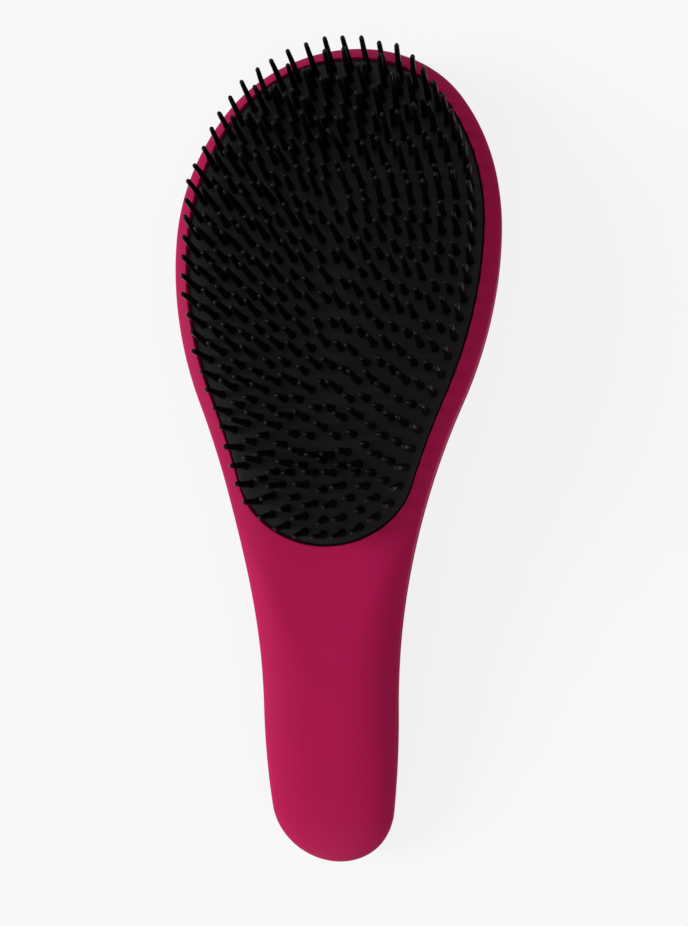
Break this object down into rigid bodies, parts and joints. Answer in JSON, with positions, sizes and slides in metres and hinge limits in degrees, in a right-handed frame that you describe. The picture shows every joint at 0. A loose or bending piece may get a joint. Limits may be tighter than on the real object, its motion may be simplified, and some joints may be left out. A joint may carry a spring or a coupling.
{
  "type": "detangling brush",
  "caption": "Hand brush with an egg-shaped head of flexible upright bristles in two lengths, set in a rounded rim, and a flat round-ended handle.",
  "frame": {"origin": "under the middle of the brush, on the surface that it lies on when its back is down", "axes": "+Y along the brush towards the tip of the head, +Z out of the bristle side, +X across"},
  "size_m": [0.0894, 0.228, 0.0371],
  "materials": {
    "shell": "soft-touch coating over moulded plastic",
    "bristle_plastic": "flexible moulded plastic, satin"
  },
  "bodies": {
    "root": {"front_shell": "shell", "back_shell": "shell", "bristle_plate": "bristle_plastic", "edge_bristles": "bristle_plastic", "long_bristles": "bristle_plastic", "short_bristles": "bristle_plastic"}
  },
  "joints": []
}
